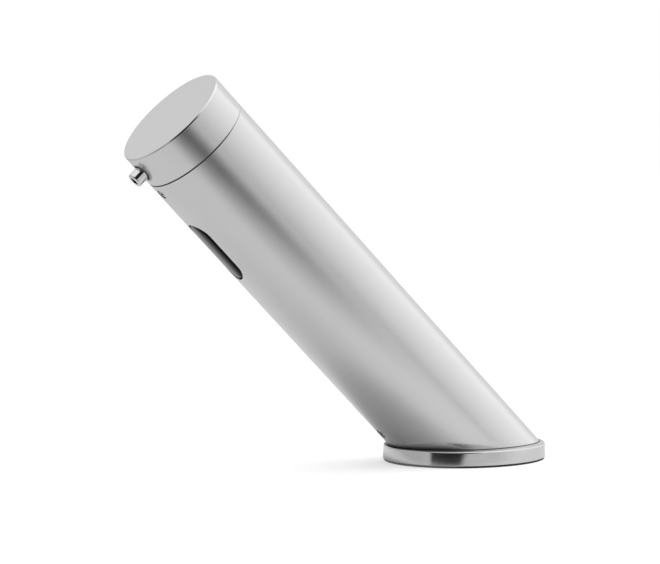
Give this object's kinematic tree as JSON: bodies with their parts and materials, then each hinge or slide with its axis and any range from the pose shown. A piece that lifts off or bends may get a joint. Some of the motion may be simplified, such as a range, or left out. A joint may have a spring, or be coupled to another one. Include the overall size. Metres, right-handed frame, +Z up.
{
  "type": "touch-free soap dispenser",
  "caption": "Deck-mounted touch-free soap dispenser: leaning brushed steel tube on an oval base plate, with end cap, chrome outlet nozzle, dark sensor window and grub screws.",
  "frame": {"origin": "midway between the two stud holes, on the deck plane under the base plate", "axes": "+Z up, out of the deck; the spout leans towards -Y; +X to the right for someone who looks along +Y"},
  "size_m": [0.0566, 0.1737, 0.1509],
  "materials": {
    "plate_steel": "fine circular brushing",
    "tube_steel": "satin, brushed round the tube",
    "cap_steel": "satin, turned face",
    "nozzle_chrome": "polished",
    "grub_steel": "plain machined",
    "screw_steel": "plain machined",
    "core_brass": "turned",
    "brass": "turned",
    "window_dark": "polished, passes infrared",
    "black_plastic": "fine moulded grain",
    "board_green": "solder mask",
    "chip_black": "moulded",
    "eye_clear": "clear",
    "eye_dark": "dark tint",
    "cable_sheath": "matt sheath",
    "plug_plastic": "moulded",
    "hose_clear": "translucent polyethylene",
    "white_plastic": "moulded acetal",
    "collar_blue": "moulded",
    "rubber": "matt"
  },
  "bodies": {
    "base": {"base_plate": "plate_steel", "base_core": "core_brass", "core_o_ring": "rubber", "core_screws": "screw_steel", "deck_gasket": "rubber"},
    "spout": {"spout_tube": "tube_steel", "sensor_window": "window_dark", "window_gasket": "rubber", "sensor_housing": "black_plastic", "sensor_cover": "black_plastic", "cover_screws": "screw_steel", "sensor_board": "board_green", "sensor_chip": "chip_black", "ir_emitter": "eye_clear", "ir_receiver": "eye_dark", "cable_gland": "rubber", "sensor_cable": "cable_sheath", "cable_plug": "plug_plastic"},
    "cap": {"end_cap": "cap_steel", "cap_o_ring": "rubber", "outlet_nozzle": "nozzle_chrome", "nozzle_washer": "screw_steel", "nozzle_nut": "brass", "valve_body": "brass", "valve_spring": "screw_steel", "hose_barb": "brass", "soap_hose": "hose_clear", "hose_ferrule": "screw_steel", "hose_coupling": "white_plastic", "coupling_collar": "collar_blue"},
    "drip_valve": {"valve_poppet": "white_plastic"},
    "cap_screw": {"cap_grub_screw": "grub_steel"},
    "base_screw": {"base_grub_screw": "grub_steel"}
  },
  "joints": [
    {"name": "spout_lift", "type": "slide", "parent": "base", "child": "spout", "axis": [0, -0.6947, 0.7193], "range_m": [0, 0.07]},
    {"name": "cap_pull", "type": "slide", "parent": "spout", "child": "cap", "axis": [0, -0.6947, 0.7193], "range_m": [0, 0.02]},
    {"name": "valve_open", "type": "slide", "parent": "cap", "child": "drip_valve", "axis": [0, -0.7193, -0.6947], "range_m": [0, 0.0008], "stiffness_N_per_m": 150, "springref_m": -0.002, "deforming": ["valve_spring"]},
    {"name": "cap_screw_turn", "type": "hinge", "parent": "spout", "child": "cap_screw", "pos_m": [0, -0.12687, 0.10788], "axis": [0, -0.7193, -0.6947], "range_deg": [0, 1080]},
    {"name": "base_screw_turn", "type": "hinge", "parent": "spout", "child": "base_screw", "pos_m": [0, -0.03517, 0.01293], "axis": [0, -0.7193, -0.6947], "range_deg": [0, 1080]}
  ]
}
